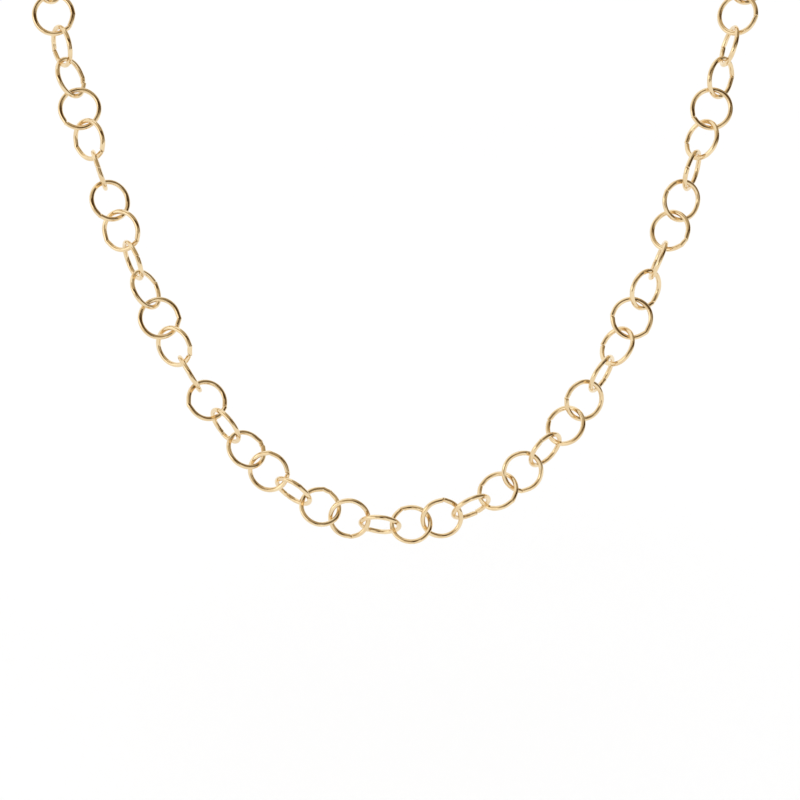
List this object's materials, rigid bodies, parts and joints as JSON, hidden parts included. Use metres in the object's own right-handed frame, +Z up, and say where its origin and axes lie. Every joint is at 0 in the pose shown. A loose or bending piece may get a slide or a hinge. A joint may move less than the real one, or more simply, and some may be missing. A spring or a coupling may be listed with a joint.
{
  "type": "rolo chain necklace",
  "caption": "Rolo chain necklace of round wire links, a whole loop hung as worn with a deep front curve, closed at the nape by a small spring ring clasp.",
  "frame": {"origin": "the nape seat, where the middle of the back of the loop lies against the back of the neck, in the middle of the clasp's place", "axes": "+Z up, the front of the loop faces -Y, +X to the right seen from the front; the front lies in a plane that leans back by 25 degrees"},
  "size_m": [0.1322, 0.1099, 0.1292],
  "materials": {
    "gold_wire": "polished",
    "gold_clasp": "polished"
  },
  "bodies": {
    "root": {"chain_left": "gold_wire", "chain_right": "gold_wire", "clasp": "gold_clasp"}
  },
  "joints": []
}
